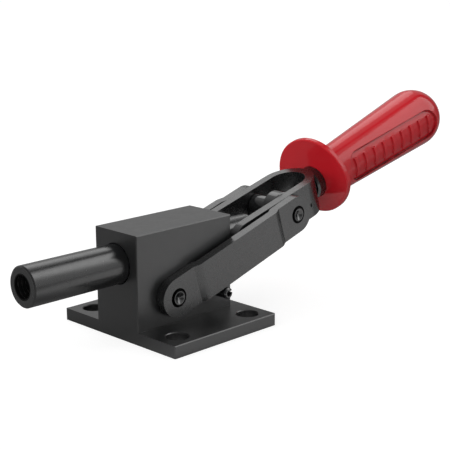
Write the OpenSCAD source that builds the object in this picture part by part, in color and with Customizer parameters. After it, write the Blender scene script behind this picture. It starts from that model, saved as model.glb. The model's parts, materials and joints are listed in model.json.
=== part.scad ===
// Straight-line toggle clamp with a block body on a flange base.
// Millimetres. X runs along the plunger from its tip towards the handle, Z is up.
// The origin is the centre of the base's four holes, on the underside.
// The clamp is drawn locked, with the plunger out.

/* [Base] */
// Base plate length along the plunger
plate_len = 66; // [62:0.5:90]
// Base plate width
plate_w = 79.5; // [76:0.5:110]
// Base plate thickness
plate_t = 6; // [4:0.5:10]
// Distance between the holes along the plunger
hole_pitch_x = 46; // [40:0.5:50]
// Distance between the holes across the plunger
hole_pitch_y = 60.5; // [56:0.5:64]
// Diameter of the base holes
hole_d = 10.8; // [6:0.1:11.5]

/* [Block] */
// Block length along the plunger
block_len = 60.5; // [52:0.5:62]
// Block width
block_w = 29.4; // [26:0.1:29.4]
// Block height above the plate
block_h = 46; // [42:0.5:60]
// Height of the plunger axis above the plate
axis_h = 30.4; // [27:0.1:32]
// Edge break of the block and the plate
edge_break = 0.4; // [0.2:0.1:0.8]
// Chamfer at the mouths of the plunger's bore and of the base holes
bore_break = 0.4; // [0.2:0.1:0.8]

/* [Plunger] */
// Plunger diameter
plunger_d = 19.05; // [16:0.05:20]
// How far the plunger stands out of the block when locked
plunger_reach = 52; // [40:0.5:70]
// How far the plunger runs on behind its pin
plunger_tail = 12.8; // [8:0.1:16]
// Diameter of the tapped hole in the tip
thread_d = 10.72; // [5:0.01:12]
// Depth of the tapped hole
thread_depth = 28; // [12:0.5:34]
// Chamfer at the mouth of the tapped hole
mouth_break = 0.4; // [0.3:0.1:1.2]
// Chamfer at the plunger's tip
tip_break = 0.5; // [0.3:0.1:1]
// Chamfer at the plunger's rear end
tail_break = 1.4; // [0.5:0.1:2]

/* [Links] */
// Distance between the two pins of a link
link_pitch = 87.5; // [84:0.1:92]
// Link width
link_w = 19.2; // [17:0.1:20]
// Link thickness
link_t = 4.76; // [3:0.01:6]
// Distance of the lower link pin behind the block's front face
link_pin_back = 21.2; // [19:0.1:24]
// Height of the lower link pin above the plate
link_pin_up = 13.5; // [12.6:0.1:14.4]
// Sideways step of the link between its ends
joggle = 1.65; // [1:0.05:2.5]
// Length over which the link steps sideways
joggle_run = 3.4; // [2.6:0.1:5]
// Radius of the link's outward bends
bend_round = 5; // [2:0.5:6]
// Flat length at the lower end, from the pin's centre to the step
low_flat = 14; // [11:0.1:15]
// Flat length at the upper end, from the pin's centre to the step
high_flat = 14; // [11:0.1:15]
// Chamfer around a pin at the link's outer face
hole_break = 0.6; // [0.3:0.1:1]

/* [Yoke] */
// Distance between the two pins of the yoke
yoke_pitch = 32.4; // [31:0.1:34]
// Angle of the locked handle above the plunger axis
handle_angle = 15.9; // [14:0.1:17]
// Width of the bar that the yoke is bent from
yoke_w = 19.2; // [17:0.1:21]
// Thickness of the bar that the yoke is bent from
yoke_t = 4.76; // [3.5:0.01:5.5]
// Distance of the bend's centre from the plunger pin
bend_reach = 48.2; // [46:0.1:60]
// How far the stem's axis lies below the line through the yoke's pins
stem_low = 0.4; // [0:0.1:0.8]
// Diameter of the round stem behind the bend
stem_d = 17.6; // [12:0.1:18]
// Length of the stem inside the grip
stem_in_grip = 56; // [30:1:80]
// Chamfer at the stem's ends
stem_break = 1; // [0.3:0.1:1.5]
// Diameter of the stem's tenon through the yoke's bend
tenon_d = 9.5; // [6:0.1:11]
// How far the tenon stands out inside the bend
tenon_proud = 0.5; // [0.2:0.1:1]

/* [Grip] */
// Bare stem between the yoke's bend and the guard
guard_gap = 5.3; // [4:0.1:15]
// Grip length from the guard's front to the end
grip_len = 108.8; // [95:0.1:130]
// Barrel diameter at the guard
grip_root_d = 24.3; // [22:0.1:26]
// Diameter of the round end
grip_end_d = 33.9; // [30:0.1:38]
// Guard thickness
guard_t = 3.3; // [2:0.1:5]
// Edge break of the guard
guard_break = 0.5; // [0.3:0.1:0.9]
// Radius of the guard's upper outline about the grip's axis
guard_r = 24.6; // [22:0.1:26]
// Radius of the guard's lower outline
guard_low_r = 24.7; // [23:0.1:27]
// Distance from the grip's axis down to the guard's lower edge
guard_drop = 17.9; // [17:0.1:21]
// Distance of the side panel from the guard's front
panel_start = 17.7; // [16:0.1:26]
// Length of the recessed side panel
panel_len = 76.9; // [60:0.1:80]
// Width of the recessed side panel
panel_w = 17.2; // [12:0.1:18]
// Depth of the recessed side panel
panel_depth = 1.3; // [0.6:0.1:1.8]
// Number of raised ribs in a side panel
rib_count = 9; // [3:1:12]
// Width of a rib
rib_w = 2.4; // [1.5:0.1:3.5]
// Height of a rib across the panel
rib_len = 10.6; // [6:0.1:12]
// Distance of the ribs' tops below the barrel's surface
rib_low = 0.4; // [0.2:0.05:0.5]
// Gap between the first and last rib and the panel's round ends
rib_margin = 6.4; // [6:0.1:12]

/* [Pins] */
// Diameter of the three pivot pins
pin_d = 7.94; // [6.8:0.01:8.5]
// How far a link pin stands out of the link's end
pin_proud = 0.5; // [0.3:0.1:2]
// Diameter of the dished end of a link pin
dish_d = 5.6; // [3:0.1:5.8]
// Depth of the dished end of a link pin
dish_depth = 0.9; // [0.4:0.1:1.2]
// Diameter of the slotted stop pin under the links
stop_pin_d = 5.5; // [5:0.05:7]
// Chamfer at the stop pin's ends
stop_pin_break = 0.6; // [0.3:0.1:1]
// Wall of the slotted stop pin
stop_pin_wall = 1.3; // [0.8:0.1:1.6]
// Slot width of the stop pin
stop_pin_slot = 1.5; // [0.5:0.1:1.8]
// Distance of the stop pin from the lower link pin, along the link
stop_pin_along = 27.7; // [25:0.1:32]
// How far the stop pin stands out past the links
stop_pin_proud = 1.2; // [0.5:0.1:3]
// Diameter of the spacer sleeve between the yoke's arms
sleeve_d = 13.2; // [11:0.1:16]
// Diameter of the stop collar on the sleeve
collar_d = 20.5; // [18:0.1:20.8]
// Width of the stop collar
collar_w = 7.3; // [4:0.1:9]
// Chamfer at the collar's and the sleeve's edges
collar_break = 0.5; // [0.2:0.1:0.8]

/* [Clearances] */
// Radial clearance of a pivot or of the plunger
run_fit = 0.05; // [0.02:0.01:0.09]
// Radial clearance of a pin that is held fast
seat_fit = 0.02; // [0.01:0.01:0.03]
// Gap between the plunger and each arm of the yoke
slot_gap = 0.5; // [0.4:0.05:1]
// Side gap between neighbouring flat parts
side_gap = 0.15; // [0.1:0.01:0.25]
// Gap between a locked link and the stop pin
stop_gap = 0.5; // [0.2:0.05:0.6]

/* [Hidden] */
$fn = 72;
eps = 0.5;

steel = [0.2, 0.21, 0.22];
dark_steel = [0.13, 0.14, 0.15];
pin_steel = [0.28, 0.29, 0.3];
grip_red = [0.78, 0.08, 0.1];

// Block front and rear, and the plunger's axis height
front_x = -plate_len / 2;
rear_x = front_x + block_len;
axis_z = plate_t + axis_h;

// Lower link pin
base_pin_x = front_x + link_pin_back;
base_pin_z = plate_t + link_pin_up;

// The locked linkage: the yoke's pin lies on a link's arc about the lower pin
pin_rise = axis_z - base_pin_z + yoke_pitch * sin(handle_angle);
link_angle = asin(pin_rise / link_pitch);
plunger_pin_x = base_pin_x + link_pitch * cos(link_angle) - yoke_pitch * cos(handle_angle);

// Plunger
plunger_r = plunger_d / 2;
thread_r = thread_d / 2;
drill_point = 0.6;
tip_x = front_x - plunger_reach;
tail_x = plunger_pin_x + plunger_tail;

// Sideways stack from the middle plane
arm_in = plunger_r + slot_gap;
arm_out = arm_in + yoke_t;
link_in = arm_out + side_gap;
link_out = link_in + link_t;
pin_end = link_out + pin_proud;
stop_pin_end = link_out + joggle + stop_pin_proud;

pin_r = pin_d / 2;
pin_break = 0.5;

// Handle
bend_back = bend_reach + arm_out;
guard_x = bend_back + guard_gap;
stem_end = guard_x + stem_in_grip;
stem_r = stem_d / 2;
tenon_r = tenon_d / 2;
tenon_end = bend_reach + sqrt(arm_in * arm_in - tenon_r * tenon_r) - tenon_proud;

// Grip: the barrel's cone touches the round end
end_r = grip_end_d / 2;
root_r = grip_root_d / 2;
end_c = grip_len - end_r;
cone_sight = sqrt(end_c * end_c + root_r * root_r);
cone_rise = asin(end_r / cone_sight) - atan2(root_r, end_c);

// Sleeve on the yoke's pin
sleeve_r = sleeve_d / 2;

// Stop pin under the links
stop_pin_r = stop_pin_d / 2;
stop_drop = link_w / 2 + stop_gap + stop_pin_r;

// Frame of the locked handle, with X along the handle from the plunger's pin
module on_handle() {
  translate([plunger_pin_x, 0, axis_z])
    rotate([0, -handle_angle, 0])
      children();
}

// Frame of the stem and the grip, a little below the handle's
module on_stem() {
  on_handle()
    translate([0, 0, -stem_low])
      children();
}

// Frame of the locked links, with X from the lower pin to the upper pin
module on_link() {
  translate([base_pin_x, 0, base_pin_z])
    rotate([0, -link_angle, 0])
      children();
}

// A cylinder along X from x0 to x1
module along_x(x0, x1, r) {
  translate([x0, 0, 0])
    rotate([0, 90, 0])
      cylinder(h = x1 - x0, r = r);
}

// A cylinder along Y from y0 to y1
module along_y(y0, y1, r) {
  translate([0, y1, 0])
    rotate([90, 0, 0])
      cylinder(h = y1 - y0, r = r);
}

// A turned solid along X, from pairs of distance and radius
module turned(points) {
  rotate([90, 0, 90])
    rotate_extrude()
      polygon([for (p = points) [p[1], p[0]]]);
}

// Points of a turned cutter for a bore of length len with both mouths chamfered
function through_bore(len, r) = [
  [-eps, 0], [-eps, r + bore_break + eps], [bore_break, r],
  [len - bore_break, r], [len + eps, r + bore_break + eps], [len + eps, 0]];

// Points of a turned bar from x0 to x1 with both edges chamfered by b
function chamfered_bar(x0, x1, r, b) = [
  [x0, 0], [x0, r - b], [x0 + b, r], [x1 - b, r], [x1, r - b], [x1, 0]];

// A box with its upper and upright edges broken
module broken_box(x0, x1, half_w, z0, z1) {
  b = edge_break;
  intersection() {
    translate([x0, 0, z0])
      linear_extrude(height = z1 - z0)
        polygon([[0, b - half_w], [b, -half_w], [x1 - x0 - b, -half_w],
          [x1 - x0, b - half_w], [x1 - x0, half_w - b], [x1 - x0 - b, half_w],
          [b, half_w], [0, half_w - b]]);
    translate([x0 - eps, 0, z0])
      rotate([90, 0, 90])
        linear_extrude(height = x1 - x0 + 2 * eps)
          polygon([[-half_w, 0], [half_w, 0], [half_w, z1 - z0 - b],
            [half_w - b, z1 - z0], [b - half_w, z1 - z0], [-half_w, z1 - z0 - b]]);
  }
}

// Block and flange base, made in one piece
module body() {
  color(steel)
    difference() {
      union() {
        broken_box(front_x, front_x + plate_len, plate_w / 2, 0, plate_t);
        broken_box(front_x, rear_x, block_w / 2, plate_t / 2, plate_t + block_h);
      }
      translate([front_x, 0, axis_z])
        turned(through_bore(block_len, plunger_r + run_fit));
      for (sx = [-1, 1])
        for (sy = [-1, 1])
          translate([sx * hole_pitch_x / 2, sy * hole_pitch_y / 2, 0])
            rotate([0, -90, 0])
              turned(through_bore(plate_t, hole_d / 2));
      translate([base_pin_x, 0, base_pin_z])
        along_y(-block_w, block_w, pin_r + seat_fit);
      on_link()
        translate([stop_pin_along, 0, -stop_drop])
          along_y(-block_w, block_w, stop_pin_r + seat_fit);
    }
}

// Round plunger with a tapped tip and a cross hole for the yoke
module plunger() {
  color(dark_steel)
    difference() {
      translate([tip_x, 0, axis_z])
        turned([[0, 0], [0, plunger_r - tip_break], [tip_break, plunger_r],
          [tail_x - tip_x - tail_break, plunger_r],
          [tail_x - tip_x, plunger_r - tail_break], [tail_x - tip_x, 0]]);
      translate([tip_x, 0, axis_z])
        turned([[-eps, 0], [-eps, thread_r + mouth_break + eps], [mouth_break, thread_r],
          [thread_depth, thread_r], [thread_depth + thread_r * drill_point, 0]]);
      translate([plunger_pin_x, 0, axis_z])
        along_y(-plunger_d, plunger_d, pin_r + run_fit);
    }
}

// Pin through the yoke's arms and the plunger
module plunger_pin() {
  color(pin_steel)
    on_handle()
      along_y(-arm_out, arm_out, pin_r);
}

// Flat bar bent to a U, with round front ends
module yoke() {
  color(steel)
    on_handle()
      difference() {
        intersection() {
          translate([0, 0, -yoke_w / 2])
            linear_extrude(height = yoke_w)
              difference() {
                union() {
                  translate([-yoke_w / 2, -arm_out])
                    square([yoke_w / 2 + bend_reach, 2 * arm_out]);
                  translate([bend_reach, 0])
                    circle(r = arm_out);
                }
                translate([-yoke_w, -arm_in])
                  square([yoke_w + bend_reach, 2 * arm_in]);
                translate([bend_reach, 0])
                  circle(r = arm_in);
              }
          translate([0, arm_out + eps, 0])
            rotate([90, 0, 0])
              linear_extrude(height = 2 * (arm_out + eps))
                union() {
                  circle(d = yoke_w);
                  translate([0, -yoke_w])
                    square([bend_back + eps, 2 * yoke_w]);
                }
        }
        along_y(-arm_out - eps, arm_out + eps, pin_r + seat_fit);
        translate([yoke_pitch, 0, 0])
          along_y(-arm_out - eps, arm_out + eps, pin_r + seat_fit);
        translate([0, 0, -stem_low])
          along_x(bend_reach, bend_back + eps, tenon_r + seat_fit);
      }
}

// Round stem that butts on the yoke's bend, with a tenon through it
module handle_stem() {
  color(steel)
    on_stem()
      turned([[tenon_end, 0], [tenon_end, tenon_r - tenon_proud],
        [tenon_end + tenon_proud, tenon_r], [bend_back, tenon_r],
        [bend_back, stem_r - stem_break], [bend_back + stem_break, stem_r],
        [stem_end - stem_break, stem_r], [stem_end, stem_r - stem_break], [stem_end, 0]]);
}

// Oval guard: the common part of two discs
module guard() {
  intersection() {
    turned(chamfered_bar(0, guard_t, guard_r, guard_break));
    translate([0, 0, guard_low_r - guard_drop])
      turned(chamfered_bar(0, guard_t, guard_low_r, guard_break));
  }
}

// Barrel of the grip, made smaller all round by inset
module barrel(inset) {
  r = end_r - inset;
  touch_x = end_c - r * sin(cone_rise);
  rotate([-90, 0, 0])
    turned([[0, 0], [0, root_r - inset / cos(cone_rise)],
      [touch_x, r * cos(cone_rise)], [touch_x, 0]]);
  translate([end_c, 0, 0])
    rotate([0, 90, 0])
      sphere(r = r);
}

// Moulded grip with a guard and a recessed panel on each side
module grip() {
  color(grip_red)
    on_stem()
      translate([guard_x, 0, 0])
        difference() {
          union() {
            guard();
            difference() {
              barrel(0);
              for (side = [-1, 1])
                difference() {
                  panel_cutter(side);
                  barrel(panel_depth);
                }
            }
            intersection() {
              barrel(rib_low);
              ribs();
            }
          }
          along_x(-eps, stem_in_grip + 0.5, stem_r + seat_fit);
        }
}

// Straight prism over the outline of one side panel
module panel_cutter(side) {
  translate([panel_start, side > 0 ? grip_end_d : 0, 0])
    rotate([90, 0, 0])
      linear_extrude(height = grip_end_d)
        union() {
          translate([panel_w / 2, -panel_w / 2])
            square([panel_len - panel_w, panel_w]);
          translate([panel_w / 2, 0])
            circle(d = panel_w);
          translate([panel_len - panel_w / 2, 0])
            circle(d = panel_w);
        }
}

// Row of straight ribs across the grip, for both side panels
module ribs() {
  first = panel_start + rib_margin;
  last = panel_start + panel_len - rib_margin;
  for (i = [0 : rib_count - 1])
    translate([first + i * (last - first) / (rib_count - 1) - rib_w / 2,
      -grip_end_d, -rib_len / 2])
      cube([rib_w, 2 * grip_end_d, rib_len]);
}

// Side view of the bar of a link: flat ends, two sideways steps, round outward bends
module link_bar() {
  x1 = low_flat;
  x2 = link_pitch - high_flat;
  slope = atan(joggle / joggle_run);
  lap = link_t * tan(slope / 2);
  y0 = link_in;
  y1 = link_in + joggle;
  difference() {
    polygon([[-link_w / 2, y0], [x1, y0], [x1 + joggle_run, y1], [x2 - joggle_run, y1],
      [x2, y0], [link_pitch + link_w / 2, y0], [link_pitch + link_w / 2, y0 + link_t],
      [x2 + lap, y0 + link_t], [x2 - joggle_run + lap, y1 + link_t],
      [x1 + joggle_run - lap, y1 + link_t], [x1 - lap, y0 + link_t],
      [-link_w / 2, y0 + link_t]]);
    translate([x1 + joggle_run - lap, y1 + link_t])
      bend_chip(slope, 0);
    translate([x2 - joggle_run + lap, y1 + link_t])
      bend_chip(slope, slope);
    translate([x1, y0])
      bend_chip(slope, 180);
    translate([x2, y0])
      bend_chip(slope, 180 + slope);
  }
}

// What a round outward bend of that slope takes off a sharp corner
module bend_chip(slope, turn) {
  run = bend_round * tan(slope / 2);
  rotate(-turn)
    difference() {
      polygon([[run, 0], [run, eps / 10], [-run * cos(slope), eps],
        [-run * cos(slope), -run * sin(slope)]]);
      translate([run, -bend_round])
        circle(r = bend_round);
    }
}

// One link, on the far side
module link() {
  color(steel)
    on_link()
      difference() {
        intersection() {
          translate([0, 0, -link_w / 2])
            linear_extrude(height = link_w)
              link_bar();
          translate([0, 2 * arm_out, 0])
            rotate([90, 0, 0])
              linear_extrude(height = 4 * arm_out)
                union() {
                  circle(d = link_w);
                  translate([0, -link_w / 2])
                    square([link_pitch, link_w]);
                  translate([link_pitch, 0])
                    circle(d = link_w);
                }
        }
        link_hole(pin_r + run_fit);
        translate([link_pitch, 0, 0])
          link_hole(pin_r + seat_fit);
      }
}

// Cutter for a pin's hole in a link, chamfered at the outer face
module link_hole(r) {
  rotate([-90, 0, 0])
    rotate_extrude()
      polygon([[0, link_in - eps], [r, link_in - eps], [r, link_out - hole_break],
        [r + hole_break + eps, link_out + eps], [0, link_out + eps]]);
}

// The link on the near side
module link_near() {
  mirror([0, 1, 0])
    link();
}

// The link on the far side
module link_far() {
  link();
}

// The outer end of a link pin with its chamfer and dish, from y0 to the pin's end
module pin_tip(y0) {
  rotate([-90, 0, 0])
    rotate_extrude()
      polygon([[0, y0], [pin_r, y0], [pin_r, pin_end - pin_break],
        [pin_r - pin_break, pin_end], [dish_d / 2, pin_end],
        [0, pin_end - dish_depth]]);
}

// Pin through the block and the lower ends of both links
module link_base_pin() {
  color(pin_steel)
    translate([base_pin_x, 0, base_pin_z]) {
      pin_tip(0);
      mirror([0, 1, 0])
        pin_tip(0);
    }
}

// Pin through the yoke's arms and the sleeve, up to the arms' outer faces
module link_yoke_pin() {
  color(pin_steel)
    on_handle()
      translate([yoke_pitch, 0, 0])
        along_y(-arm_out, arm_out, pin_r);
}

// The same pin's two ends in the links
module link_yoke_pin_ends() {
  color(pin_steel)
    on_handle()
      translate([yoke_pitch, 0, 0]) {
        pin_tip(link_in);
        mirror([0, 1, 0])
          pin_tip(link_in);
      }
}

// Sleeve that keeps the yoke's arms apart
module spacer_sleeve() {
  color(pin_steel)
    on_handle()
      translate([yoke_pitch, 0, 0])
        difference() {
          rotate([0, 0, 90])
            turned(chamfered_bar(side_gap - arm_in, arm_in - side_gap, sleeve_r, collar_break));
          along_y(-arm_in, arm_in, pin_r + seat_fit);
        }
}

// Collar on the sleeve that meets the plunger when the handle is thrown open
module stop_collar() {
  color(pin_steel)
    on_handle()
      translate([yoke_pitch, 0, 0])
        difference() {
          rotate([0, 0, 90])
            turned(chamfered_bar(side_gap - arm_in, side_gap - arm_in + collar_w,
              collar_d / 2, collar_break));
          along_y(-arm_in, arm_in, sleeve_r + seat_fit);
        }
}

// Slotted spring pin through the block, on which the locked links rest
module link_stop_pin() {
  color(pin_steel)
    on_link()
      translate([stop_pin_along, 0, -stop_drop])
        difference() {
          rotate([0, 0, 90])
            turned(chamfered_bar(-stop_pin_end, stop_pin_end, stop_pin_r, stop_pin_break));
          along_y(-stop_pin_end - eps, stop_pin_end + eps, stop_pin_r - stop_pin_wall);
          translate([0, -stop_pin_end - eps, -stop_pin_slot / 2])
            cube([stop_pin_d, 2 * (stop_pin_end + eps), stop_pin_slot]);
        }
}

body();
plunger();
plunger_pin();
yoke();
handle_stem();
grip();
link_near();
link_far();
link_base_pin();
link_yoke_pin();
link_yoke_pin_ends();
spacer_sleeve();
stop_collar();
link_stop_pin();
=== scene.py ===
import json
import math

import bmesh
import bpy
from mathutils import Matrix, Vector


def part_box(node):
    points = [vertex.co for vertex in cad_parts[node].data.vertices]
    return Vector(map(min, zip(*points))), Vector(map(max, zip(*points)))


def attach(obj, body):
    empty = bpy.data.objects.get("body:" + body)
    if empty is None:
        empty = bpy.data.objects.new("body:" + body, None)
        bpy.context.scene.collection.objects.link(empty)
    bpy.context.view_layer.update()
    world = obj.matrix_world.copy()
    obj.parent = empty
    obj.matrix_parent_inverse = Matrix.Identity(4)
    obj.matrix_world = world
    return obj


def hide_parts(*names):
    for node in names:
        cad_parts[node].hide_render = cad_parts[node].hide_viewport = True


bl_info = {
    "name": "Toggle clamp looks",
    "version": (1, 0, 0),
    "blender": (4, 5, 0),
    "location": "View3D > Sidebar > Clamp",
    "description": "Dresses a straight-line toggle clamp: oxide steel, red grip, tapped tip, stage",
    "category": "Object",
}

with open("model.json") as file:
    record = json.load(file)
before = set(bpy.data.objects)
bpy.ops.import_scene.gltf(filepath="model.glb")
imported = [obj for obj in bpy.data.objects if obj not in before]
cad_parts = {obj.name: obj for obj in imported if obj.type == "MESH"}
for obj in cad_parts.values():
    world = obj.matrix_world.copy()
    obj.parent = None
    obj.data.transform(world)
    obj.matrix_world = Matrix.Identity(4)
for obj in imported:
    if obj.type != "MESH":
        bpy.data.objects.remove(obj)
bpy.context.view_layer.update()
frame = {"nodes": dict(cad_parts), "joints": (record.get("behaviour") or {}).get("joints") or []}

MM = 0.001
JOINTS = {joint["name"]: joint for joint in frame["joints"]}
HANDLE_PIVOT = Vector(JOINTS["handle_swing"]["pos_m"])
LINK_PIVOT = Vector(JOINTS["link_swing"]["pos_m"])

# Handle axis: from the pivot to the middle of the yoke's second pin
_pin_low, _pin_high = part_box("link_yoke_pin")
YOKE_PIN = (_pin_low + _pin_high) / 2
HANDLE_ANGLE = math.atan2(YOKE_PIN.z - HANDLE_PIVOT.z, YOKE_PIN.x - HANDLE_PIVOT.x)
LINK_ANGLE = math.atan2(YOKE_PIN.z - LINK_PIVOT.z, YOKE_PIN.x - LINK_PIVOT.x)

# Points round the plunger and round its cross hole, and rows to one turn of the thread
ROUND_POINTS = 96
DRILL_POINTS = 64
ROWS_PER_TURN = 9

# Share of the pitch that is flat at the thread's crest, and as much again at its root
THREAD_FLAT = 0.12

# Depth of the drilled hole's cone as a share of its radius
DRILL_CONE = 0.6

# Radius of the small flat in the middle of the cone and of the rear end
MIDDLE = 0.02 * MM

# Small patch of painted shade on the yoke's near side, where a pit is: its place on the handle in
# millimetres, and its half sizes
PIT_SHADE_PLACE = (48.1, -14.78, -2.85)
PIT_SHADE_SIZE = (0.6 * MM, 2.0 * MM, 1.1 * MM)

# Painted shade in the seams round the pins' ends, on the links and on the pins, by inner and outer
# radius
LINK_SEAM_SHADE = (3.8 * MM, 4.6 * MM)
PIN_SEAM_SHADE = (3.25 * MM, 4.2 * MM)

# Hollow in a pin's end, by radius and depth
PIN_DISH = (3.2 * MM, 0.75 * MM)

# Radius round the plunger's axis within which the tapped hole and its rim are painted dark, as shade
BORE_SHADE = 6.2 * MM

# Height of the finest marks on the steel
GRAIN_HEIGHT = 0.01 * MM


def on_handle(along, side, up):
    """A point given along the handle axis, across it and above it, in millimetres."""
    c, s = math.cos(HANDLE_ANGLE), math.sin(HANDLE_ANGLE)
    return HANDLE_PIVOT + MM * Vector((along * c - up * s, side, along * s + up * c))


# Settings


class ClampSteelSettings(bpy.types.PropertyGroup):
    """Colours and surface of the oxide-blackened steel."""

    block_color: bpy.props.FloatVectorProperty(
        name="Block colour", description="Oxide colour of the block and base",
        subtype="COLOR", size=3, min=0, max=1, default=(0.0085, 0.0088, 0.0093))
    bar_color: bpy.props.FloatVectorProperty(
        name="Bar colour", description="Oxide colour of the links, yoke and stem",
        subtype="COLOR", size=3, min=0, max=1, default=(0.0085, 0.0088, 0.0093))
    plunger_color: bpy.props.FloatVectorProperty(
        name="Plunger colour", description="Oxide colour of the ground plunger",
        subtype="COLOR", size=3, min=0, max=1, default=(0.0080, 0.0083, 0.0088))
    pin_color: bpy.props.FloatVectorProperty(
        name="Pin colour", description="Oxide colour of the turned pins and sleeves",
        subtype="COLOR", size=3, min=0, max=1, default=(0.0105, 0.0108, 0.0115))
    worn_color: bpy.props.FloatVectorProperty(
        name="Worn colour", description="Steel that shows where the oxide has rubbed off",
        subtype="COLOR", size=3, min=0, max=1, default=(0.15, 0.15, 0.155))
    block_roughness: bpy.props.FloatProperty(
        name="Block roughness", description="Roughness of the block and base",
        subtype="FACTOR", min=0, max=1, default=0.36)
    bar_roughness: bpy.props.FloatProperty(
        name="Bar roughness", description="Roughness of the links, yoke and stem",
        subtype="FACTOR", min=0, max=1, default=0.27)
    plunger_roughness: bpy.props.FloatProperty(
        name="Plunger roughness", description="Roughness of the ground plunger",
        subtype="FACTOR", min=0, max=1, default=0.25)
    pin_roughness: bpy.props.FloatProperty(
        name="Pin roughness", description="Roughness of the turned pins and sleeves",
        subtype="FACTOR", min=0, max=1, default=0.16)
    edge_radius: bpy.props.FloatProperty(
        name="Edge radius", description="Broken edge that every steel part shows",
        subtype="DISTANCE", unit="LENGTH", min=0.00005, max=0.002, default=0.00012)
    rub_radius: bpy.props.FloatProperty(
        name="Rub width", description="How far from an edge the rubbed oxide reaches",
        subtype="DISTANCE", unit="LENGTH", min=0.00005, max=0.002, default=0.00030)
    edge_wear: bpy.props.FloatProperty(
        name="Edge wear", description="How much the edges are rubbed bright",
        subtype="FACTOR", min=0, max=1, default=0.30)
    gloss: bpy.props.FloatProperty(
        name="Oxide gloss", description="Index of refraction of the oiled oxide skin",
        min=1.3, max=2.6, default=2.0)


class ClampTipSettings(bpy.types.PropertyGroup):
    """Sizes of the plunger's tapped hole, cross hole and chamfers."""

    thread_pitch: bpy.props.FloatProperty(
        name="Thread pitch", description="Distance from one turn of the thread to the next",
        subtype="DISTANCE", unit="LENGTH", min=0.001, max=0.0025, default=0.001954)
    thread_root: bpy.props.FloatProperty(
        name="Thread root radius", description="Radius at the bottom of the thread's grooves",
        subtype="DISTANCE", unit="LENGTH", min=0.0055, max=0.007, default=0.00635)
    thread_crest: bpy.props.FloatProperty(
        name="Thread crest radius", description="Radius of the drilled hole and the thread's crests",
        subtype="DISTANCE", unit="LENGTH", min=0.0045, max=0.0058, default=0.00536)
    mouth_radius: bpy.props.FloatProperty(
        name="Mouth radius", description="Radius of the hole at the tip's face",
        subtype="DISTANCE", unit="LENGTH", min=0.0046, max=0.0070, default=0.0055)
    thread_length: bpy.props.FloatProperty(
        name="Thread length", description="How deep the thread is cut",
        subtype="DISTANCE", unit="LENGTH", min=0.005, max=0.027, default=0.022)
    hole_depth: bpy.props.FloatProperty(
        name="Hole depth", description="Depth of the drilled hole to its cone",
        subtype="DISTANCE", unit="LENGTH", min=0.010, max=0.035, default=0.028)
    tip_break: bpy.props.FloatProperty(
        name="Tip chamfer", description="Chamfer round the tip's face",
        subtype="DISTANCE", unit="LENGTH", min=0.0002, max=0.0015, default=0.0006)
    tail_break: bpy.props.FloatProperty(
        name="Tail chamfer", description="Chamfer round the rear end",
        subtype="DISTANCE", unit="LENGTH", min=0.0002, max=0.0025, default=0.0014)
    cross_hole: bpy.props.FloatProperty(
        name="Cross hole radius", description="Radius of the hole for the handle's pin",
        subtype="DISTANCE", unit="LENGTH", min=0.003, max=0.0045, default=0.00402)


class ClampGripSettings(bpy.types.PropertyGroup):
    """Colour and skin of the moulded grip."""

    color: bpy.props.FloatVectorProperty(
        name="Grip colour", description="Colour of the moulded grip",
        subtype="COLOR", size=3, min=0, max=1, default=(0.66, 0.0170, 0.0265))
    roughness: bpy.props.FloatProperty(
        name="Grip roughness", description="Roughness of the grip's skin",
        subtype="FACTOR", min=0, max=1, default=0.11)
    edge_radius: bpy.props.FloatProperty(
        name="Edge radius", description="Moulded round along the grip's edges",
        subtype="DISTANCE", unit="LENGTH", min=0.00005, max=0.003, default=0.0006)


class ClampStageSettings(bpy.types.PropertyGroup):
    """Floor, lamps and camera."""

    floor_color: bpy.props.FloatVectorProperty(
        name="Floor colour", description="Colour of the plain floor",
        subtype="COLOR", size=3, min=0, max=1, default=(0.42, 0.42, 0.42))
    floor_glow: bpy.props.FloatProperty(
        name="Floor white", description="White that the camera sees on top of the lit floor",
        min=0, max=1, default=0.77)
    box_power: bpy.props.FloatProperty(
        name="Near soft box", description="Power of the soft box at the grip's end",
        subtype="POWER", unit="POWER", min=0, default=2.45)
    rear_power: bpy.props.FloatProperty(
        name="Rear soft box", description="Power of the soft box behind the clamp",
        subtype="POWER", unit="POWER", min=0, default=1.1)
    world_light: bpy.props.FloatProperty(
        name="World light", description="Strength of the even light from all round",
        min=0, max=2, default=0.60)
    rear_white: bpy.props.FloatProperty(
        name="Rear wall", description="Brightness of the pale wall behind, in reflections",
        min=0, max=2, default=0.42)
    near_white: bpy.props.FloatProperty(
        name="Near wall", description="Brightness of the room on the grip's side, in reflections",
        min=0, max=2, default=0.50)
    room_dim: bpy.props.FloatProperty(
        name="Room", description="Brightness of the rest of the room, in reflections",
        min=0, max=2, default=0.12)
    left_light: bpy.props.FloatProperty(
        name="Light from the left", description="How much more even light comes from the tip's side",
        min=0, max=2, default=1.30)
    rear_light: bpy.props.FloatProperty(
        name="Light from the rear", description="How much more even light comes from behind",
        min=0, max=2, default=0.40)
    focal_length: bpy.props.FloatProperty(
        name="Focal length", description="Camera's focal length on a 36 mm sensor",
        subtype="DISTANCE_CAMERA", unit="CAMERA", min=10, max=300, default=88.24)


# Node trees


def add(tree, kind, inputs=None, **settings):
    """Adds one node; inputs gives its sockets values or links, by name or number."""
    node = tree.nodes.new(kind)
    for key, value in settings.items():
        setattr(node, key, value)
    for key, value in (inputs or {}).items():
        if isinstance(value, bpy.types.NodeSocket):
            tree.links.new(value, node.inputs[key])
        else:
            node.inputs[key].default_value = value
    return node


def math_node(tree, operation, first, second=0.0, clamp=False):
    """One sum; returns its output socket."""
    node = add(tree, "ShaderNodeMath", {0: first, 1: second}, operation=operation, use_clamp=clamp)
    return node.outputs[0]


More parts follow.
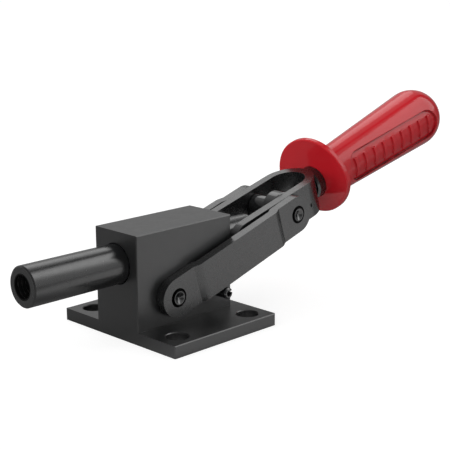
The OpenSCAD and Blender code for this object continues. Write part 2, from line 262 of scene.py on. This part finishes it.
def ramp(tree, value, low, high, to_low=0.0, to_high=1.0, smooth=False):
    """Maps value from one range to another, clamped; returns the output socket."""
    node = add(tree, "ShaderNodeMapRange",
               {"Value": value, "From Min": low, "From Max": high, "To Min": to_low, "To Max": to_high})
    node.interpolation_type = "SMOOTHSTEP" if smooth else "LINEAR"
    return node.outputs["Result"]


def window(tree, value, edges, smooth=False):
    """One between the middle two of four edges, falling to nothing at the outer two."""
    start, full, last_full, end = edges
    return math_node(tree, "MULTIPLY", ramp(tree, value, start, full, smooth=smooth),
                     ramp(tree, value, end, last_full, smooth=smooth))


def shared_group(name, inputs, outputs, build):
    """A shader node group by that name, built once; inputs are (name, kind, default)."""
    group = bpy.data.node_groups.get(name)
    if group:
        return group
    group = bpy.data.node_groups.new(name, "ShaderNodeTree")
    for label, kind, default in inputs:
        socket = group.interface.new_socket(label, in_out="INPUT", socket_type=kind)
        socket.default_value = default
    for label, kind in outputs:
        group.interface.new_socket(label, in_out="OUTPUT", socket_type=kind)
    given = group.nodes.new("NodeGroupInput")
    result = group.nodes.new("NodeGroupOutput")
    build(group, given.outputs, result.inputs)
    return group


def broken_edge():
    """Rounded normals near every edge, and a patchy mask of where the edge is rubbed."""

    def build(tree, given, result):
        bevel = add(tree, "ShaderNodeBevel", {"Radius": given["Radius"]}, samples=6)
        wide = add(tree, "ShaderNodeBevel", {"Radius": given["Rub Radius"]}, samples=4)
        flat = add(tree, "ShaderNodeNewGeometry")
        turn = add(tree, "ShaderNodeVectorMath",
                   {0: wide.outputs["Normal"], 1: flat.outputs["Normal"]}, operation="DOT_PRODUCT")
        edge = ramp(tree, turn.outputs["Value"], 0.995, 0.80)
        place = add(tree, "ShaderNodeTexCoord").outputs["Object"]
        patch = add(tree, "ShaderNodeTexNoise",
                    {"Vector": place, "Scale": 260.0, "Detail": 3.0, "Roughness": 0.6})
        patchy = ramp(tree, patch.outputs["Fac"], 0.38, 0.66)
        rub = math_node(tree, "MULTIPLY", edge, patchy)
        tree.links.new(bevel.outputs["Normal"], result["Normal"])
        tree.links.new(math_node(tree, "MULTIPLY", rub, given["Amount"]), result["Rub"])

    return shared_group("broken_edge",
                        [("Radius", "NodeSocketFloat", 0.0002),
                         ("Rub Radius", "NodeSocketFloat", 0.0004),
                         ("Amount", "NodeSocketFloat", 0.3)],
                        [("Normal", "NodeSocketVector"), ("Rub", "NodeSocketFloat")], build)


def oxide_skin():
    """Black oxide: faint clouds, oil marks and fine grain."""

    def build(tree, given, result):
        place = add(tree, "ShaderNodeTexCoord").outputs["Object"]
        cloud = add(tree, "ShaderNodeTexNoise",
                    {"Vector": place, "Scale": 45.0, "Detail": 4.0, "Roughness": 0.55})
        smear = add(tree, "ShaderNodeTexNoise",
                    {"Vector": place, "Scale": 170.0, "Detail": 5.0, "Roughness": 0.65,
                     "Distortion": 0.6})
        grain = add(tree, "ShaderNodeTexNoise",
                    {"Vector": place, "Scale": 2400.0, "Detail": 2.0, "Roughness": 0.6})
        both = math_node(tree, "ADD", math_node(tree, "MULTIPLY", cloud.outputs["Fac"], 0.6),
                         math_node(tree, "MULTIPLY", smear.outputs["Fac"], 0.4))
        shade = ramp(tree, both, 0.3, 0.7, 0.72, 1.28)
        tone = add(tree, "ShaderNodeVectorMath", {0: given["Color"], "Scale": shade},
                   operation="SCALE")
        worn = add(tree, "ShaderNodeMix", {"Factor": given["Rub"], "A": tone.outputs["Vector"],
                                           "B": given["Worn Color"]}, data_type="RGBA")
        dull = ramp(tree, smear.outputs["Fac"], 0.3, 0.7, -1.0, 1.0)
        spread = math_node(tree, "MULTIPLY", dull, given["Smear"])
        rough = math_node(tree, "ADD", given["Roughness"], spread, clamp=True)
        tree.links.new(worn.outputs["Result"], result["Color"])
        tree.links.new(rough, result["Roughness"])
        tree.links.new(grain.outputs["Fac"], result["Height"])

    return shared_group(
        "oxide_skin",
        [("Color", "NodeSocketColor", (0.02, 0.02, 0.02, 1)),
         ("Worn Color", "NodeSocketColor", (0.15, 0.15, 0.15, 1)),
         ("Rub", "NodeSocketFloat", 0.0), ("Roughness", "NodeSocketFloat", 0.35),
         ("Smear", "NodeSocketFloat", 0.04)],
        [("Color", "NodeSocketColor"), ("Roughness", "NodeSocketFloat"),
         ("Height", "NodeSocketFloat")], build)


def painted_corner_shade():
    """A mask of painted shade: darkening in the close corners, where nearby surfaces shade them."""

    def build(tree, given, result):
        open_sky = add(tree, "ShaderNodeAmbientOcclusion", {"Distance": given["Reach"]}, samples=8)
        place = add(tree, "ShaderNodeTexCoord").outputs["Object"]
        break_up = add(tree, "ShaderNodeTexNoise",
                       {"Vector": place, "Scale": 320.0, "Detail": 3.0, "Roughness": 0.6})
        closed = math_node(tree, "SUBTRACT", 1.0, open_sky.outputs["AO"])
        wide = ramp(tree, break_up.outputs["Fac"], 0.3, 0.7, 0.75, 1.25)
        corner_shade = ramp(tree, math_node(tree, "MULTIPLY", closed, wide), 0.35, 0.9)
        tree.links.new(math_node(tree, "MULTIPLY", corner_shade, given["Amount"]), result["Painted Shade"])

    return shared_group("painted_corner_shade",
                        [("Reach", "NodeSocketFloat", 0.004), ("Amount", "NodeSocketFloat", 0.6)],
                        [("Painted Shade", "NodeSocketFloat")], build)


def drawn_lay():
    """Fine lines along the length of a drawn bar that leans by Angle."""

    def build(tree, given, result):
        place = add(tree, "ShaderNodeTexCoord").outputs["Object"]
        lean = add(tree, "ShaderNodeVectorRotate",
                   {"Vector": place, "Axis": (0, 1, 0), "Angle": given["Angle"]},
                   rotation_type="AXIS_ANGLE")
        long = add(tree, "ShaderNodeVectorMath",
                   {0: lean.outputs["Vector"], 1: (0.03, 1.0, 1.0)}, operation="MULTIPLY")
        line = add(tree, "ShaderNodeTexNoise",
                   {"Vector": long.outputs["Vector"], "Scale": 1500.0, "Detail": 3.0,
                    "Roughness": 0.6})
        tree.links.new(line.outputs["Fac"], result["Height"])

    return shared_group("drawn_lay", [("Angle", "NodeSocketFloat", 0.0)],
                        [("Height", "NodeSocketFloat")], build)


def ring_lay():
    """Fine rings that a lathe or a grinding wheel leaves round the X or the Y axis."""

    def build(tree, given, result):
        place = add(tree, "ShaderNodeTexCoord").outputs["Object"]
        squeeze = add(tree, "ShaderNodeVectorMath", {0: place, 1: given["Stretch"]},
                      operation="MULTIPLY")
        ring = add(tree, "ShaderNodeTexNoise",
                   {"Vector": squeeze.outputs["Vector"], "Scale": 1700.0, "Detail": 3.0,
                    "Roughness": 0.65})
        tree.links.new(ring.outputs["Fac"], result["Height"])

    return shared_group("ring_lay", [("Stretch", "NodeSocketVector", (1.0, 0.04, 0.04))],
                        [("Height", "NodeSocketFloat")], build)


# Materials


def principled(name):
    """A new material; returns it, its tree and its Principled shader."""
    material = bpy.data.materials.new(name)
    material.use_nodes = True
    tree = material.node_tree
    return material, tree, tree.nodes["Principled BSDF"]


def pit_shade_mask(tree, centre, size):
    """One where the painted shade of a small pit is, by its centre and half sizes along, across and up
    the handle.
    """
    place = add(tree, "ShaderNodeTexCoord").outputs["Object"]
    offset = add(tree, "ShaderNodeVectorMath", {0: place, 1: centre}, operation="SUBTRACT")
    lean = add(tree, "ShaderNodeVectorRotate",
               {"Vector": offset.outputs["Vector"], "Axis": (0, 1, 0), "Angle": HANDLE_ANGLE},
               rotation_type="AXIS_ANGLE")
    scaled = add(tree, "ShaderNodeVectorMath", {0: lean.outputs["Vector"], 1: size},
                 operation="DIVIDE")
    reach = add(tree, "ShaderNodeVectorMath", {0: scaled.outputs["Vector"]}, operation="LENGTH")
    return ramp(tree, reach.outputs["Value"], 1.25, 0.75)


def away_from(tree, pivots, across=(1, 0, 1)):
    """Distance from the nearest pivot along the axes set to one in across; an output socket."""
    place = add(tree, "ShaderNodeTexCoord").outputs["Object"]
    nearest = None
    for pivot in pivots:
        offset = add(tree, "ShaderNodeVectorMath", {0: place, 1: pivot}, operation="SUBTRACT")
        flat = add(tree, "ShaderNodeVectorMath", {0: offset.outputs["Vector"], 1: across},
                   operation="MULTIPLY")
        reach = add(tree, "ShaderNodeVectorMath", {0: flat.outputs["Vector"]},
                    operation="LENGTH").outputs["Value"]
        nearest = reach if nearest is None else math_node(tree, "MINIMUM", nearest, reach)
    return nearest


def ring_mask(tree, distance, inner, outer):
    """One between two radii, fading over a tenth of a millimetre to each side of both."""
    soft = 0.1 * MM
    return window(tree, distance, (inner - soft, inner + soft, outer - soft, outer + soft))


def steel_material(name, color, roughness, lay=None, lay_depth=0.0, grain_depth=0.25, pit=None,
                   ring=None, dish=None, bore=None, wear=1.0):
    """Oxide-blackened steel, with painted shade in its corners and hollows.

    lay is a node group with its inputs. pit is a place and its half sizes, where a pit's shade is
    painted.
    ring and dish are each the pins' axes with two sizes: ring paints shade in the seams round the pins'
    ends, and dish hollows their normals. bore is a point on the plunger's axis with a radius, within
    which the hole's shade is painted.
    """
    settings = bpy.context.scene.clamp_steel
    material, tree, shader = principled(name)
    edge = add(tree, "ShaderNodeGroup", node_tree=broken_edge())
    edge.inputs["Radius"].default_value = settings.edge_radius
    edge.inputs["Rub Radius"].default_value = settings.rub_radius
    edge.inputs["Amount"].default_value = settings.edge_wear * wear
    skin = add(tree, "ShaderNodeGroup", node_tree=oxide_skin())
    skin.inputs["Color"].default_value = (*color, 1)
    skin.inputs["Worn Color"].default_value = (*settings.worn_color, 1)
    skin.inputs["Roughness"].default_value = roughness
    skin.inputs["Smear"].default_value = 0.035
    tree.links.new(edge.outputs["Rub"], skin.inputs["Rub"])
    # Painted shade in the close corners
    corner_shade = add(tree, "ShaderNodeGroup", node_tree=painted_corner_shade())
    corner_shade.inputs["Reach"].default_value = 0.002
    corner_shade.inputs["Amount"].default_value = 0.5
    dark = math_node(tree, "MULTIPLY", corner_shade.outputs["Painted Shade"], 0.8)
    # Painted shade of the pit on the yoke
    if pit:
        dark = math_node(tree, "MAXIMUM", dark, pit_shade_mask(tree, *pit))
    # Painted shade in the seams round the pins' ends
    if ring:
        pivots, radii = ring
        dark = math_node(tree, "MAXIMUM", dark, ring_mask(tree, away_from(tree, pivots), *radii))
    # Painted shade inside the tapped hole and on its rim
    if bore:
        centre, reach = bore
        from_axis = away_from(tree, (centre,), (0, 1, 1))
        shade = math_node(tree, "MULTIPLY", 0.8, ramp(tree, from_axis, reach, reach - 0.2 * MM))
        dark = math_node(tree, "MAXIMUM", dark, shade)
    # Painted shade: where dark is high the colour goes near black and rougher, and Metallic dims its
    # reflections
    painted_shade_color = add(tree, "ShaderNodeMix", {"Factor": dark, "A": skin.outputs["Color"],
                                       "B": (0.002, 0.002, 0.002, 1)}, data_type="RGBA")
    dull = math_node(tree, "ADD", skin.outputs["Roughness"],
                     math_node(tree, "MULTIPLY", dark, 0.35), clamp=True)
    tree.links.new(painted_shade_color.outputs["Result"], shader.inputs["Base Color"])
    tree.links.new(dull, shader.inputs["Roughness"])
    tree.links.new(dark, shader.inputs["Metallic"])
    shader.inputs["IOR"].default_value = settings.gloss
    grain = add(tree, "ShaderNodeBump",
                {"Strength": grain_depth, "Distance": GRAIN_HEIGHT, "Height": skin.outputs["Height"],
                 "Normal": edge.outputs["Normal"]})
    normal = grain.outputs["Normal"]
    if dish:
        pivots, (reach, depth) = dish
        bowl = ramp(tree, away_from(tree, pivots), 0.0, reach, -depth, 0.0, smooth=True)
        normal = add(tree, "ShaderNodeBump", {"Strength": 1.0, "Distance": 1.0, "Height": bowl,
                                              "Normal": normal}).outputs["Normal"]
    if lay:
        group, inputs = lay
        lines = add(tree, "ShaderNodeGroup", node_tree=group)
        for key, value in inputs.items():
            lines.inputs[key].default_value = value
        normal = add(tree, "ShaderNodeBump",
                     {"Strength": lay_depth, "Distance": GRAIN_HEIGHT,
                      "Height": lines.outputs["Height"], "Normal": normal}).outputs["Normal"]
    tree.links.new(normal, shader.inputs["Normal"])
    return material


def paint(piece, material):
    """Puts one material on a piece or a CAD node's object."""
    piece.data.materials.clear()
    piece.data.materials.append(material)


# Plunger


def turned_skin(rows, axis_point, radius_at):
    """Points and faces of a closed skin turned round X; rows are (x, r), and radius_at alters r."""
    points, faces = [], []
    for x, r in rows:
        for k in range(ROUND_POINTS):
            turn = 2 * math.pi * k / ROUND_POINTS
            wide = radius_at(x, r, turn)
            points.append((axis_point.x + x, axis_point.y + wide * math.cos(turn),
                           axis_point.z + wide * math.sin(turn)))
    for row in range(len(rows) - 1):
        first = row * ROUND_POINTS
        for k in range(ROUND_POINTS):
            a, b = first + k, first + (k + 1) % ROUND_POINTS
            faces.append((a, b, b + ROUND_POINTS, a + ROUND_POINTS))
    last = len(points) - ROUND_POINTS
    faces.append(tuple(reversed(range(ROUND_POINTS))))
    faces.append(tuple(range(last, last + ROUND_POINTS)))
    return points, faces


def closed_mesh(name, points, faces):
    """A mesh whose faces all look outwards."""
    mesh = bpy.data.meshes.new(name)
    mesh.from_pydata(points, [], faces)
    mesh.validate()
    tool = bmesh.new()
    tool.from_mesh(mesh)
    bmesh.ops.recalc_face_normals(tool, faces=tool.faces)
    tool.to_mesh(mesh)
    tool.free()
    return mesh


def drilled(mesh, centre, radius, half_length):
    """The mesh with a hole along Y through centre."""
    n = DRILL_POINTS
    turns = [2 * math.pi * k / n for k in range(n)]
    rims = [(centre.x + radius * math.cos(turn), centre.y + side * half_length,
             centre.z + radius * math.sin(turn)) for side in (-1, 1) for turn in turns]
    walls = [(k, (k + 1) % n, n + (k + 1) % n, n + k) for k in range(n)]
    walls += [tuple(range(n)), tuple(range(n, 2 * n))]
    solid = bpy.data.objects.new("blank", mesh)
    drill = bpy.data.objects.new("drill", closed_mesh("drill", rims, walls))
    for item in (solid, drill):
        bpy.context.scene.collection.objects.link(item)
    cut = solid.modifiers.new("cross_hole", "BOOLEAN")
    cut.operation, cut.solver, cut.object = "DIFFERENCE", "EXACT", drill
    shape = solid.evaluated_get(bpy.context.evaluated_depsgraph_get())
    result = bpy.data.meshes.new_from_object(shape)
    for item in (solid, drill):
        spent = item.data
        bpy.data.objects.remove(item)
        bpy.data.meshes.remove(spent)
    return result


class CLAMP_OT_plunger(bpy.types.Operator):
    """Turns the plunger with the thread in its tip"""

    bl_idname = "clamp.plunger"
    bl_label = "Cut the plunger's thread"

    def execute(self, context):
        settings = context.scene.clamp_tip
        low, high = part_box("plunger")
        axis_point = Vector((low.x, (low.y + high.y) / 2, (low.z + high.z) / 2))
        radius, length = (high.z - low.z) / 2, high.x - low.x
        root, crest, pitch = settings.thread_root, settings.thread_crest, settings.thread_pitch
        depth, thread, mouth = settings.hole_depth, settings.thread_length, settings.mouth_radius
        tip, tail = settings.tip_break, settings.tail_break
        steps = round(thread / pitch * ROWS_PER_TURN)
        inner = [(depth + DRILL_CONE * crest, MIDDLE), (depth, crest)]
        inner += [(thread * (steps - n) / steps, crest) for n in range(steps)]
        inner.append((0.0, mouth))
        outer = [(0.0, radius - tip), (tip, radius), (length - tail, radius),
                 (length, radius - tail), (length, MIDDLE)]

        def radius_at(x, r, turn):
            """Cuts the thread's groove, which runs in and out over a turn at its two ends."""
            if r != crest or x > thread:
                return r
            swing = abs(2 * ((x / pitch + turn / (2 * math.pi)) % 1.0) - 1)
            cut = min(max((swing - THREAD_FLAT) / (1 - 2 * THREAD_FLAT), 0.0), 1.0)
            cut *= min(1.0, x / pitch, (thread - x) / pitch)
            return max(crest + (root - crest) * cut, mouth - x)

        points, faces = turned_skin(inner + outer, axis_point, radius_at)
        mesh = closed_mesh("plunger_turned", points, faces)
        mesh = drilled(mesh, HANDLE_PIVOT, settings.cross_hole, radius * 1.2)
        mesh.name = "plunger_turned"
        mesh.shade_smooth()
        mesh.set_sharp_from_angle(angle=math.radians(28))
        piece = bpy.data.objects.new("plunger_turned", mesh)
        context.scene.collection.objects.link(piece)
        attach(piece, "plunger")
        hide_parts("plunger")
        return {"FINISHED"}


# Steel and grip


class CLAMP_OT_steel(bpy.types.Operator):
    """Gives the steel parts their blackened finish"""

    bl_idname = "clamp.steel"
    bl_label = "Finish the steel"

    def execute(self, context):
        settings = context.scene.clamp_steel
        # Place and half sizes of the pit's painted shade
        pit = (on_handle(*PIT_SHADE_PLACE), PIT_SHADE_SIZE)
        along_handle = (drawn_lay(), {"Angle": HANDLE_ANGLE})
        along_link = (drawn_lay(), {"Angle": LINK_ANGLE})
        round_x = (ring_lay(), {"Stretch": (1.0, 0.04, 0.04)})
        round_y = (ring_lay(), {"Stretch": (0.04, 1.0, 0.04)})
        pivots = (LINK_PIVOT, YOKE_PIN)
        low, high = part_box("plunger")
        bore_axis = Vector((0, 0, (low.z + high.z) / 2))
        block = steel_material("oxide_block", settings.block_color, settings.block_roughness)
        yoke = steel_material("oxide_yoke", settings.bar_color, settings.bar_roughness,
                              lay=along_handle, lay_depth=0.20, pit=pit)
        link = steel_material("oxide_link", settings.bar_color, settings.bar_roughness,
                              lay=along_link, lay_depth=0.20, ring=(pivots, LINK_SEAM_SHADE))
        ground = steel_material("oxide_ground", settings.plunger_color, settings.plunger_roughness,
                                lay=round_x, lay_depth=0.14, grain_depth=0.10,
                                bore=(bore_axis, BORE_SHADE), wear=2.5)
        turned = steel_material("oxide_turned", settings.pin_color, settings.pin_roughness,
                                lay=round_y, lay_depth=0.12, grain_depth=0.10)
        pin_end = steel_material("oxide_pin_end", settings.pin_color, settings.pin_roughness,
                                 lay=round_y, lay_depth=0.10, grain_depth=0.10,
                                 ring=(pivots, PIN_SEAM_SHADE), dish=(pivots, PIN_DISH))
        finishes = (
            (block, ("body",)),
            (yoke, ("yoke", "handle_stem")),
            (link, ("link_near", "link_far")),
            (ground, ("plunger",)),
            (turned, ("plunger_pin", "link_yoke_pin", "spacer_sleeve", "stop_collar",
                      "link_stop_pin")),
            (pin_end, ("link_base_pin", "link_yoke_pin_ends")))
        for material, nodes in finishes:
            for node in nodes:
                paint(frame["nodes"][node], material)
        turned_plunger = bpy.data.objects.get("plunger_turned")
        if turned_plunger:
            paint(turned_plunger, ground)
        return {"FINISHED"}


class CLAMP_OT_grip(bpy.types.Operator):
    """Finishes the moulded grip"""

    bl_idname = "clamp.grip"
    bl_label = "Finish the grip"

    def execute(self, context):
        settings = context.scene.clamp_grip
        material, tree, shader = principled("red_moulding")
        place = add(tree, "ShaderNodeTexCoord").outputs["Object"]
        flow = add(tree, "ShaderNodeTexNoise",
                   {"Vector": place, "Scale": 38.0, "Detail": 3.0, "Roughness": 0.5})
        tone = ramp(tree, flow.outputs["Fac"], 0.3, 0.7, 0.94, 1.06)
        red = add(tree, "ShaderNodeVectorMath",
                  {0: settings.color, "Scale": tone}, operation="SCALE")
        # Painted shade: the close corners and the gaps between the raised letters turn deep red
        corner_shade = add(tree, "ShaderNodeGroup", node_tree=painted_corner_shade())
        corner_shade.inputs["Reach"].default_value = 0.0025
        corner_shade.inputs["Amount"].default_value = 0.9
        red_with_painted_shade = add(tree, "ShaderNodeMix",
                     {"Factor": corner_shade.outputs["Painted Shade"], "A": red.outputs["Vector"],
                      "B": (0.05, 0.002, 0.003, 1)}, data_type="RGBA")
        tree.links.new(red_with_painted_shade.outputs["Result"], shader.inputs["Base Color"])
        wipe = add(tree, "ShaderNodeTexNoise",
                   {"Vector": place, "Scale": 210.0, "Detail": 5.0, "Roughness": 0.65,
                    "Distortion": 0.8})
        rough = ramp(tree, wipe.outputs["Fac"], 0.3, 0.75,
                     settings.roughness - 0.03, settings.roughness + 0.06)
        tree.links.new(rough, shader.inputs["Roughness"])
        shader.inputs["IOR"].default_value = 1.5
        edge = add(tree, "ShaderNodeGroup", node_tree=broken_edge())
        edge.inputs["Radius"].default_value = settings.edge_radius
        edge.inputs["Amount"].default_value = 0.0
        sink = add(tree, "ShaderNodeTexNoise",
                   {"Vector": place, "Scale": 900.0, "Detail": 2.0, "Roughness": 0.5})
        skin = add(tree, "ShaderNodeBump",
                   {"Strength": 0.12, "Distance": 0.00002, "Height": sink.outputs["Fac"],
                    "Normal": edge.outputs["Normal"]})
        tree.links.new(skin.outputs["Normal"], shader.inputs["Normal"])
        paint(frame["nodes"]["grip"], material)
        return {"FINISHED"}


# Stage


CAMERA_PLACE = Vector((-0.34425, -0.38256, 0.17505))
CAMERA_AZIMUTH = math.radians(-45.0)
CAMERA_ELEVATION = math.radians(13.787)
CAMERA_ROLL = math.radians(-0.176)
LAMP_AIM = Vector((0.04, 0, 0.03))
FLOOR_REACH = 6.0

# Painted pool of light on the floor, which the steel mirrors: its edges by x + y, away from the camera,
# and by x - y, to the camera's right, and the floor's painted brightness in reflections outside and
# inside it
POOL_DEPTH = (-0.155, -0.115, 0.09, 0.155)
POOL_RIGHT = (-0.05, 0.03)
POOL_LEVELS = (0.28, 0.95)

# The room in reflections, by bearing in degrees: where each stretch starts, is full and ends
REAR_WALL = (9.0, 16.0, 95.0, 135.0)
NEAR_WALL = (-115.0, -80.0, -26.0, -12.0)
DARK_GAP = (2.0, 6.0, 11.0, 16.0)


def area_lamp(name, bearing, height, reach, width, tall, power):
    """A soft box that faces the clamp from a bearing and a height above the floor, in degrees."""
    b, h = math.radians(bearing), math.radians(height)
    away = Vector((math.cos(b) * math.cos(h), math.sin(b) * math.cos(h), math.sin(h)))
    data = bpy.data.lights.new(name, "AREA")
    data.shape = "RECTANGLE"
    data.size, data.size_y = width, tall
    data.energy = power
    lamp = bpy.data.objects.new(name, data)
    bpy.context.scene.collection.objects.link(lamp)
    lamp.location = LAMP_AIM + away * reach
    lamp.rotation_euler = (-away).to_track_quat("-Z", "Y").to_euler()
    lamp.visible_camera = False


def build_floor(settings):
    """A plain pale floor that reads as white round the object and keeps its shadow; in reflections it
    shows a painted pool of light.
    """
    corners = [(x * FLOOR_REACH, y * FLOOR_REACH, 0) for x, y in ((-1, -1), (1, -1), (1, 1), (-1, 1))]
    mesh = bpy.data.meshes.new("floor")
    mesh.from_pydata(corners, [], [(0, 1, 2, 3)])
    floor = bpy.data.objects.new("floor", mesh)
    bpy.context.scene.collection.objects.link(floor)
    material, tree, shader = principled("floor_paint")
    place = add(tree, "ShaderNodeTexCoord").outputs["Object"]
    paper = add(tree, "ShaderNodeTexNoise",
                {"Vector": place, "Scale": 900.0, "Detail": 3.0, "Roughness": 0.6})
    bump = add(tree, "ShaderNodeBump",
               {"Strength": 0.05, "Distance": 0.0001, "Height": paper.outputs["Fac"]})
    tree.links.new(bump.outputs["Normal"], shader.inputs["Normal"])
    shader.inputs["Roughness"].default_value = 0.9
    shader.inputs["Specular IOR Level"].default_value = 0.2
    path = add(tree, "ShaderNodeLightPath")
    # Painted pool of light: in reflections the floor is brighter in a patch beside the clamp and
    # painted dimmer outside it
    split = add(tree, "ShaderNodeSeparateXYZ", {"Vector": place})
    depth = math_node(tree, "ADD", split.outputs["X"], split.outputs["Y"])
    right = math_node(tree, "SUBTRACT", split.outputs["X"], split.outputs["Y"])
    pool = math_node(tree, "MULTIPLY", window(tree, depth, POOL_DEPTH, smooth=True),
                     ramp(tree, right, *POOL_RIGHT, smooth=True))
    level = ramp(tree, pool, 0.0, 1.0, *POOL_LEVELS)
    painted_pool_color = add(tree, "ShaderNodeCombineColor", {"Red": level, "Green": level, "Blue": level})
    pale = add(tree, "ShaderNodeMix", {"Factor": path.outputs["Is Glossy Ray"],
                                       "A": (*settings.floor_color, 1),
                                       "B": painted_pool_color.outputs["Color"]}, data_type="RGBA")
    tree.links.new(pale.outputs["Result"], shader.inputs["Base Color"])
    shader.inputs["Emission Color"].default_value = (1, 1, 1, 1)
    glow = math_node(tree, "MULTIPLY", path.outputs["Is Camera Ray"], settings.floor_glow)
    tree.links.new(glow, shader.inputs["Emission Strength"])
    mesh.materials.append(material)


def build_world(settings):
    """White to the camera; in reflections two pale walls, a dimmer room and a dark gap."""
    world = bpy.data.worlds.new("surroundings")
    world.use_nodes = True
    tree = world.node_tree
    background = tree.nodes["Background"]
    path = add(tree, "ShaderNodeLightPath")
    toward = add(tree, "ShaderNodeTexCoord").outputs["Generated"]
    split = add(tree, "ShaderNodeSeparateXYZ", {"Vector": toward})
    bearing = math_node(tree, "ARCTAN2", split.outputs["Y"], split.outputs["X"])
    bearing = math_node(tree, "MULTIPLY", bearing, 180 / math.pi)
    rear = window(tree, bearing, REAR_WALL, smooth=True)
    # Higher up, the near wall reaches further round
    start, full, last_full, end = NEAR_WALL
    raised = ramp(tree, split.outputs["Z"], 0.5, 0.8, 0.0, -15.0, smooth=True)
    shifted = math_node(tree, "ADD", bearing, raised)
    near = math_node(tree, "MULTIPLY", ramp(tree, bearing, start, full, smooth=True),
                     ramp(tree, shifted, end, last_full, smooth=True))
    rear_share = math_node(tree, "MULTIPLY", rear, settings.rear_white - settings.room_dim)
    near_share = math_node(tree, "MULTIPLY", near, settings.near_white - settings.room_dim)
    glossy = math_node(tree, "ADD", rear_share, near_share)
    glossy = math_node(tree, "ADD", glossy, settings.room_dim)
    # The gap between the walls is dark in its upper part alone
    gap = window(tree, bearing, DARK_GAP, smooth=True)
    high = ramp(tree, split.outputs["Z"], 0.5, 0.75, smooth=True)
    dark = math_node(tree, "SUBTRACT", 1.0, math_node(tree, "MULTIPLY", gap, high))
    glossy = math_node(tree, "MULTIPLY", glossy, dark)
    mirror = math_node(tree, "MAXIMUM", path.outputs["Is Glossy Ray"],
                       path.outputs["Is Transmission Ray"])
    lean = math_node(tree, "MULTIPLY", split.outputs["X"],
                     -settings.left_light * settings.world_light)
    behind = math_node(tree, "MULTIPLY", split.outputs["Y"],
                       settings.rear_light * settings.world_light)
    even = math_node(tree, "ADD", math_node(tree, "ADD", lean, behind), settings.world_light)
    even = math_node(tree, "MAXIMUM", even, 0.0)
    indirect = add(tree, "ShaderNodeMix", {"Factor": mirror, "A": even, "B": glossy},
                   data_type="FLOAT")
    final = add(tree, "ShaderNodeMix", {"Factor": path.outputs["Is Camera Ray"],
                                        "A": indirect.outputs["Result"], "B": 1.0},
                data_type="FLOAT")
    background.inputs["Color"].default_value = (1, 1, 1, 1)
    tree.links.new(final.outputs["Result"], background.inputs["Strength"])
    return world


def build_camera(settings):
    """The camera, by its measured place, bearing, height and roll."""
    data = bpy.data.cameras.new("camera")
    data.sensor_width = 36.0
    data.lens = settings.focal_length
    data.clip_start, data.clip_end = 0.01, 20
    camera = bpy.data.objects.new("camera", data)
    bpy.context.scene.collection.objects.link(camera)
    azimuth, elevation = CAMERA_AZIMUTH, CAMERA_ELEVATION
    back = Vector((math.sin(azimuth) * math.cos(elevation),
                   -math.cos(azimuth) * math.cos(elevation), math.sin(elevation)))
    right = Vector((math.cos(azimuth), math.sin(azimuth), 0))
    up = back.cross(right)
    c, s = math.cos(CAMERA_ROLL), math.sin(CAMERA_ROLL)
    axes = Matrix((right * c + up * s, up * c - right * s, back)).transposed()
    camera.matrix_world = Matrix.Translation(CAMERA_PLACE) @ axes.to_4x4()
    return camera


class CLAMP_OT_stage(bpy.types.Operator):
    """Builds the floor, the soft boxes, the surroundings and the camera"""

    bl_idname = "clamp.stage"
    bl_label = "Build the stage"

    def execute(self, context):
        scene = context.scene
        settings = scene.clamp_stage
        build_floor(settings)
        scene.world = build_world(settings)
        area_lamp("soft_box_near", -30, 39, 1.1, 0.68, 0.85, settings.box_power)
        area_lamp("soft_box_rear", 50, 42, 1.2, 0.70, 0.50, settings.rear_power)
        scene.camera = build_camera(settings)
        scene.view_settings.view_transform = "Standard"
        return {"FINISHED"}


class CLAMP_PT_panel(bpy.types.Panel):
    """Lists the sizes, colours and steps in the 3D view's sidebar"""

    bl_idname = "CLAMP_PT_panel"
    bl_label = "Toggle clamp"
    bl_space_type = "VIEW_3D"
    bl_region_type = "UI"
    bl_category = "Clamp"

    def draw(self, context):
        for title, group, operator in (("Plunger", "clamp_tip", "clamp.plunger"),
                                       ("Steel", "clamp_steel", "clamp.steel"),
                                       ("Grip", "clamp_grip", "clamp.grip"),
                                       ("Stage", "clamp_stage", "clamp.stage")):
            box = self.layout.box()
            box.label(text=title)
            settings = getattr(context.scene, group)
            for key in settings.__annotations__:
                box.prop(settings, key)
            box.operator(operator)


CLASSES = (ClampSteelSettings, ClampTipSettings, ClampGripSettings, ClampStageSettings,
           CLAMP_OT_plunger, CLAMP_OT_steel, CLAMP_OT_grip, CLAMP_OT_stage, CLAMP_PT_panel)


def register():
    for cls in CLASSES:
        bpy.utils.register_class(cls)
    bpy.types.Scene.clamp_steel = bpy.props.PointerProperty(type=ClampSteelSettings)
    bpy.types.Scene.clamp_tip = bpy.props.PointerProperty(type=ClampTipSettings)
    bpy.types.Scene.clamp_grip = bpy.props.PointerProperty(type=ClampGripSettings)
    bpy.types.Scene.clamp_stage = bpy.props.PointerProperty(type=ClampStageSettings)


def unregister():
    del bpy.types.Scene.clamp_stage
    del bpy.types.Scene.clamp_grip
    del bpy.types.Scene.clamp_tip
    del bpy.types.Scene.clamp_steel
    for cls in reversed(CLASSES):
        bpy.utils.unregister_class(cls)


def main():
    register()
    bpy.ops.clamp.plunger()
    bpy.ops.clamp.steel()
    bpy.ops.clamp.grip()
    bpy.ops.clamp.stage()


if __name__ == "__main__":
    main()
